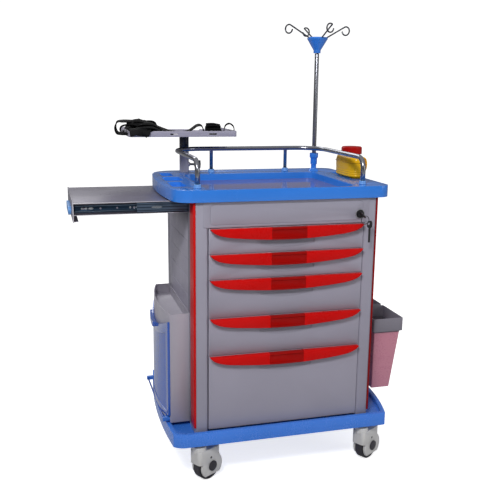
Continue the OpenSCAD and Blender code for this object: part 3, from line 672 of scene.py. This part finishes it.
def buckle():
    """Buckle tongue: a block thinned at its x ends and narrowed at its y ends."""
    length_x, length_y, height = 0.034, 0.044, 0.008
    bm = bmesh.new()
    bmesh.ops.create_cube(bm, size=1)
    for v in bm.verts:
        v.co = Vector((v.co.x * length_x, v.co.y * length_y, v.co.z * height))
    bmesh.ops.subdivide_edges(bm, edges=bm.edges[:], cuts=3, use_grid_fill=True)
    for v in bm.verts:
        v.co.z *= 1 - 0.35 * (abs(v.co.x) / (length_x / 2)) ** 2
        v.co.x *= 1 - 0.18 * (v.co.y / (length_y / 2)) ** 2
        v.co += mm(-138, 146, BED + 6)
    return smooth_object(bm, "strap_buckle", "black")


def straps():
    webbing = [ribbon(*row) for row in LEFT_LOOPS]
    webbing += bunched_folds()
    webbing.append(ribbon(*PEAK, side_change=(0, 0, -0.3)))
    webbing += [ribbon(*row) for row in LOOSE_ENDS]
    webbing += folded_pad()
    tongue = buckle()
    for piece in webbing + [tongue]:
        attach(piece, "shelf")
    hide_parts("defib_straps")


straps()


# ------------------------------------------------------------------ infusion pole hooks
POLE_X, POLE_Y = 253, 218
HOOK_ARM = ((14, 1428.6), (40, 1442.8), (70, 1459.2), (98, 1474.5))    # reach, z
CURL_START = (108, 1480)       # reach, z where the arm passes into the curl
CURL_OFFSET = (8.5, 12.4)      # from there to the curl's centre: outward, down
CURL_RADIUS = 15
CURL_STEP = 21                 # degrees between the curl's 15 points


def hooks():
    """Four sloping arms, each ending in an open curl turned to one side."""
    out, down = CURL_OFFSET
    reach, z = CURL_START
    start = math.degrees(math.atan2(down, -out))
    for i in range(4):
        heading = 7 + 90 * i
        arm_x, arm_y = math.cos(math.radians(heading)), math.sin(math.radians(heading))
        curl_heading = math.radians(heading - (60, 80)[i % 2])
        curl_x, curl_y = math.cos(curl_heading), math.sin(curl_heading)
        points = [(POLE_X + r * arm_x, POLE_Y + r * arm_y, height) for r, height in HOOK_ARM]
        centre_x = POLE_X + reach * arm_x + out * curl_x
        centre_y = POLE_Y + reach * arm_y + out * curl_y
        for k in range(15):
            angle = math.radians(start - k * CURL_STEP)
            across = CURL_RADIUS * math.cos(angle)
            points.append((centre_x + across * curl_x, centre_y + across * curl_y,
                           z - down + CURL_RADIUS * math.sin(angle)))
        hook = tube(f"pole_hook_{i+1}", points, radius=2.7, material="hook_steel",
                    per=4, sides=16)
        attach(hook, "pole_crown")
    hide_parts("pole_hooks")


hooks()


# ------------------------------------------------------------------ sharps container
SHARPS_X, SHARPS_Y = 322, 27
BODY_SHIFT = -4    # the body's centre lies this far in x from the neck's

# z, half-width in x, half-width in y, superellipse power, shift in x
FOOT_LEVELS = [
    (940.4, 14, 66, 3.4, BODY_SHIFT), (940.8, 17.5, 69.5, 3.4, BODY_SHIFT),
    (942.5, 19.6, 71.6, 3.4, BODY_SHIFT), (946, 20.4, 72.4, 3.4, BODY_SHIFT),
    (954, 20.6, 72.6, 3.4, BODY_SHIFT), (958.8, 21.2, 72.8, 3.3, -3.6),
    (959.6, 27, 78, 2.9, BODY_SHIFT), (961.5, 31, 81.5, 2.7, BODY_SHIFT),
]
RIB_BOTTOMS = (964, 971, 978)
# height above the rib's bottom, half-width in x, half-width in y
RIB_SECTION = ((0, 33.4, 82.6), (1.2, 34.4, 83.6), (3.8, 34.4, 83.6), (5.0, 33.2, 82.4))
SHOULDER_LEVELS = [
    (987, 34.2, 83.2, 2.6, BODY_SHIFT), (1004, 35.0, 84.0, 2.6, BODY_SHIFT),
    (1018, 34.6, 83.4, 2.6, BODY_SHIFT), (1025, 32.8, 81.4, 2.6, -3.6),
    (1029.6, 29.6, 77.6, 2.5, -3), (1032.2, 26.0, 71.0, 2.5, -1.6),
]
TOP_FALL = ((1033.2, 0.25), (1033.8, 0.55), (1034.3, 0.85))    # z, progress to the neck
NECK = ((1034.8, 25.2, 6), (1035.3, 25.0, 3), (1036.0, 25.0, 1))    # z, radius, extra in y
LOOP_POINTS = [(346, 12, 1024), (355, 12, 1025), (364, 12, 1019), (368, 12, 1007),
               (368, 12, 992), (364, 12, 979), (357, 12, 970), (348, 12, 968)]


def oval(z, half_x, half_y, power, shift, steps, count):
    """The first count points, in mm, of a superellipse divided into steps."""
    points = []
    for k in range(count):
        t = 2 * math.pi * k / steps
        c, s = math.cos(t), math.sin(t)
        x = math.copysign(abs(c) ** (2 / power), c) * half_x
        y = math.copysign(abs(s) ** (2 / power), s) * half_y
        points.append((SHARPS_X + shift + x, SHARPS_Y + y, z))
    return points


def sharps_body():
    """Rounded oval plan, ribs near the foot, soft shoulders and a neck under the lid."""
    levels = list(FOOT_LEVELS)
    for bottom in RIB_BOTTOMS:
        levels += [(bottom + rise, half_x, half_y, 2.6, BODY_SHIFT)
                   for rise, half_x, half_y in RIB_SECTION]
    levels += SHOULDER_LEVELS
    levels += [(z, 26 - f, 71 + (33 - 71) * f, 2.5 - 0.5 * f, 0) for z, f in TOP_FALL]
    levels += [(z, radius, radius + extra, 2.0, 0) for z, radius, extra in NECK]
    bm = bmesh.new()
    rings = [[bm.verts.new(mm(*p)) for p in oval(*level, steps=72, count=72)]
             for level in levels]
    for first, second in zip(rings, rings[1:]):
        bridge(bm, first, second)
    bm.faces.new(rings[0])
    bm.faces.new(rings[-1])
    body = smooth_object(bm, "sharps_body", "yellow")
    subdivision = body.modifiers.new("sub", "SUBSURF")
    subdivision.levels = subdivision.render_levels = 1
    return body


def sharps():
    """The body, a carrying loop on its right side and a moulding seam round it."""
    body = sharps_body()
    loop = ribbon("sharps_loop", 34, 3.6, (0, 1, 0), LOOP_POINTS, material="yellow",
                  per=6, crown=0.4)
    seam_points = oval(1011, 35.1, 84.1, 3.0, BODY_SHIFT, steps=48, count=49)
    seam = ribbon("sharps_seam", 2.2, 1.2, (0, 0, 1), seam_points, material="yellow", per=2)
    for piece in (body, loop, seam):
        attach(piece, "sharps_container")
    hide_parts("sharps_box")


sharps()


# ------------------------------------------------------------------ floor, world, lights
def studio_floor():
    """A floor the camera sees nearly white and other rays see as plain matt grey."""
    bm = bmesh.new()
    bmesh.ops.create_grid(bm, x_segments=2, y_segments=2, size=40)
    floor = mesh_object(bm, "studio_floor")
    surface = Surface("studio_floor")
    camera_ray = surface.node("ShaderNodeLightPath").outputs["Is Camera Ray"]
    tone = surface.mix(surface.remap(surface.noise(0.6, 3)), (0.90,) * 3, (0.94,) * 3)
    surface.put("Base Color", surface.mix(camera_ray, (0.60, 0.60, 0.61), tone))
    surface.put("Roughness", 0.75)
    surface.put("Specular IOR Level", 0.1)
    surface.put("Emission Color", (1, 1, 1, 1))
    surface.put("Emission Strength", surface.times(camera_ray, 0.72))
    floor.data.materials.append(surface.material)


def studio_world():
    """White to the camera; a grey gradient, brightest overhead, to other rays."""
    world = bpy.data.worlds.new("studio")
    scene.world = world
    world.use_nodes = True
    graph = Graph(world.node_tree)
    background = world.node_tree.nodes["Background"]
    background.inputs["Strength"].default_value = 1.0
    rays = graph.node("ShaderNodeLightPath").outputs
    incoming = graph.node("ShaderNodeNewGeometry").outputs["Incoming"]
    # Incoming points back along the ray, so -z is the upper half of the studio
    z = graph.node("ShaderNodeSeparateXYZ", {0: incoming}).outputs[2]
    diffuse = graph.remap(z, start=0.3, end=-1.0, low=0.20, high=0.54)
    glossy = graph.remap(z, start=0.2, end=-0.9, low=0.05, high=0.55)
    level = graph.blend(rays["Is Glossy Ray"], diffuse, glossy)
    level = graph.blend(rays["Is Camera Ray"], level, 1.08)
    graph.feed(background.inputs["Color"], level)


# name, location, target, size, power in watts
LIGHTS = (
    ("key", (-1.5, -2.6, 3.2), (0, 0, 0.7), (0.9, 0.7), 80),
    ("fill", (2.8, -2.4, 1.6), (0, 0, 0.6), (1.4, 1.4), 13),
    ("rim", (-0.4, 2.8, 2.8), (0, 0, 0.9), (2.4, 1.2), 26),
)


def area_light(name, location, target, size, power):
    light = bpy.data.lights.new(name, "AREA")
    light.shape = "RECTANGLE"
    light.size, light.size_y = size
    light.energy = power
    light.specular_factor = 0.4
    lamp = bpy.data.objects.new(name, light)
    lamp.location = location
    aim = Vector(target) - Vector(location)
    lamp.rotation_euler = aim.to_track_quat("-Z", "Y").to_euler()
    scene.collection.objects.link(lamp)


studio_floor()
studio_world()
for row in LIGHTS:
    area_light(*row)
scene.view_settings.view_transform = "Standard"
scene.view_settings.look = "None"


# ------------------------------------------------------------------ camera
EYE = Vector((-0.73278, -2.3844, 1.2530))
# radians: yaw from +Y towards +X, pitch downwards, roll about the line of sight
YAW, PITCH, ROLL = 0.27723994, 0.21508156, 0.01237613
SENSOR_WIDTH = 36         # mm
FOCAL_LENGTH = 52.83216   # mm


def camera():
    forward = Vector((math.sin(YAW) * math.cos(PITCH), math.cos(YAW) * math.cos(PITCH),
                      -math.sin(PITCH)))
    level_right = Vector((math.cos(YAW), -math.sin(YAW), 0))
    level_up = level_right.cross(forward)
    right = level_right * math.cos(ROLL) + level_up * math.sin(ROLL)
    up = -level_right * math.sin(ROLL) + level_up * math.cos(ROLL)
    lens = bpy.data.cameras.new("cam")
    lens.sensor_width = SENSOR_WIDTH
    lens.sensor_fit = "HORIZONTAL"
    lens.lens = FOCAL_LENGTH
    holder = bpy.data.objects.new("cam", lens)
    pose = Matrix.Identity(4)
    for i in range(3):
        pose[i] = (right[i], up[i], -forward[i], EYE[i])
    holder.matrix_world = pose
    scene.collection.objects.link(holder)
    scene.camera = holder


camera()
